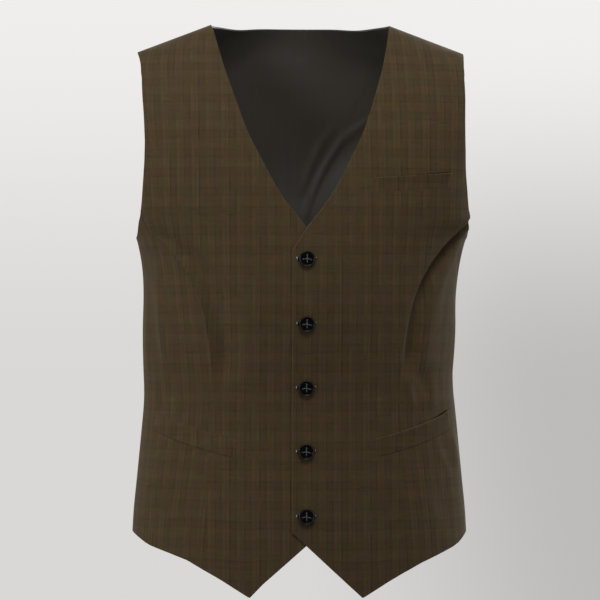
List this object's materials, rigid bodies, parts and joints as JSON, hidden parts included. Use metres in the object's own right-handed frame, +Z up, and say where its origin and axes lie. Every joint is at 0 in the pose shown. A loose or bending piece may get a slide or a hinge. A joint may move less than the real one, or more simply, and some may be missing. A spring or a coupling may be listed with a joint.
{
  "type": "suit waistcoat",
  "caption": "Suit waistcoat in its worn, filled-out shape: V-neck buttoned front with pointed tips, princess seams and welt pockets, satin back, open neck, armholes and hem.",
  "frame": {"origin": "where the wearer's shoulders carry it: midway between the two neck points, the highest points of the shoulder seams", "axes": "+Z up; the front faces -Y; +X is the wearer's left"},
  "size_m": [0.3796, 0.2459, 0.642],
  "materials": {
    "wool_check": "matt olive-brown wool suiting with a fine tonal check",
    "back_satin": "dark charcoal satin with a soft sheen",
    "lining_satin": "dark charcoal lining satin with a soft sheen",
    "button_black": "polished black with a dished face"
  },
  "bodies": {
    "root": {"front_left": "wool_check", "front_right": "wool_check", "side_left": "wool_check", "side_right": "wool_check", "back_left": "back_satin", "back_right": "back_satin", "back_lining": "lining_satin", "chest_welt": "wool_check", "lower_welt_left": "wool_check", "lower_welt_right": "wool_check", "button_1": "button_black", "button_2": "button_black", "button_3": "button_black", "button_4": "button_black", "button_5": "button_black"}
  },
  "joints": []
}
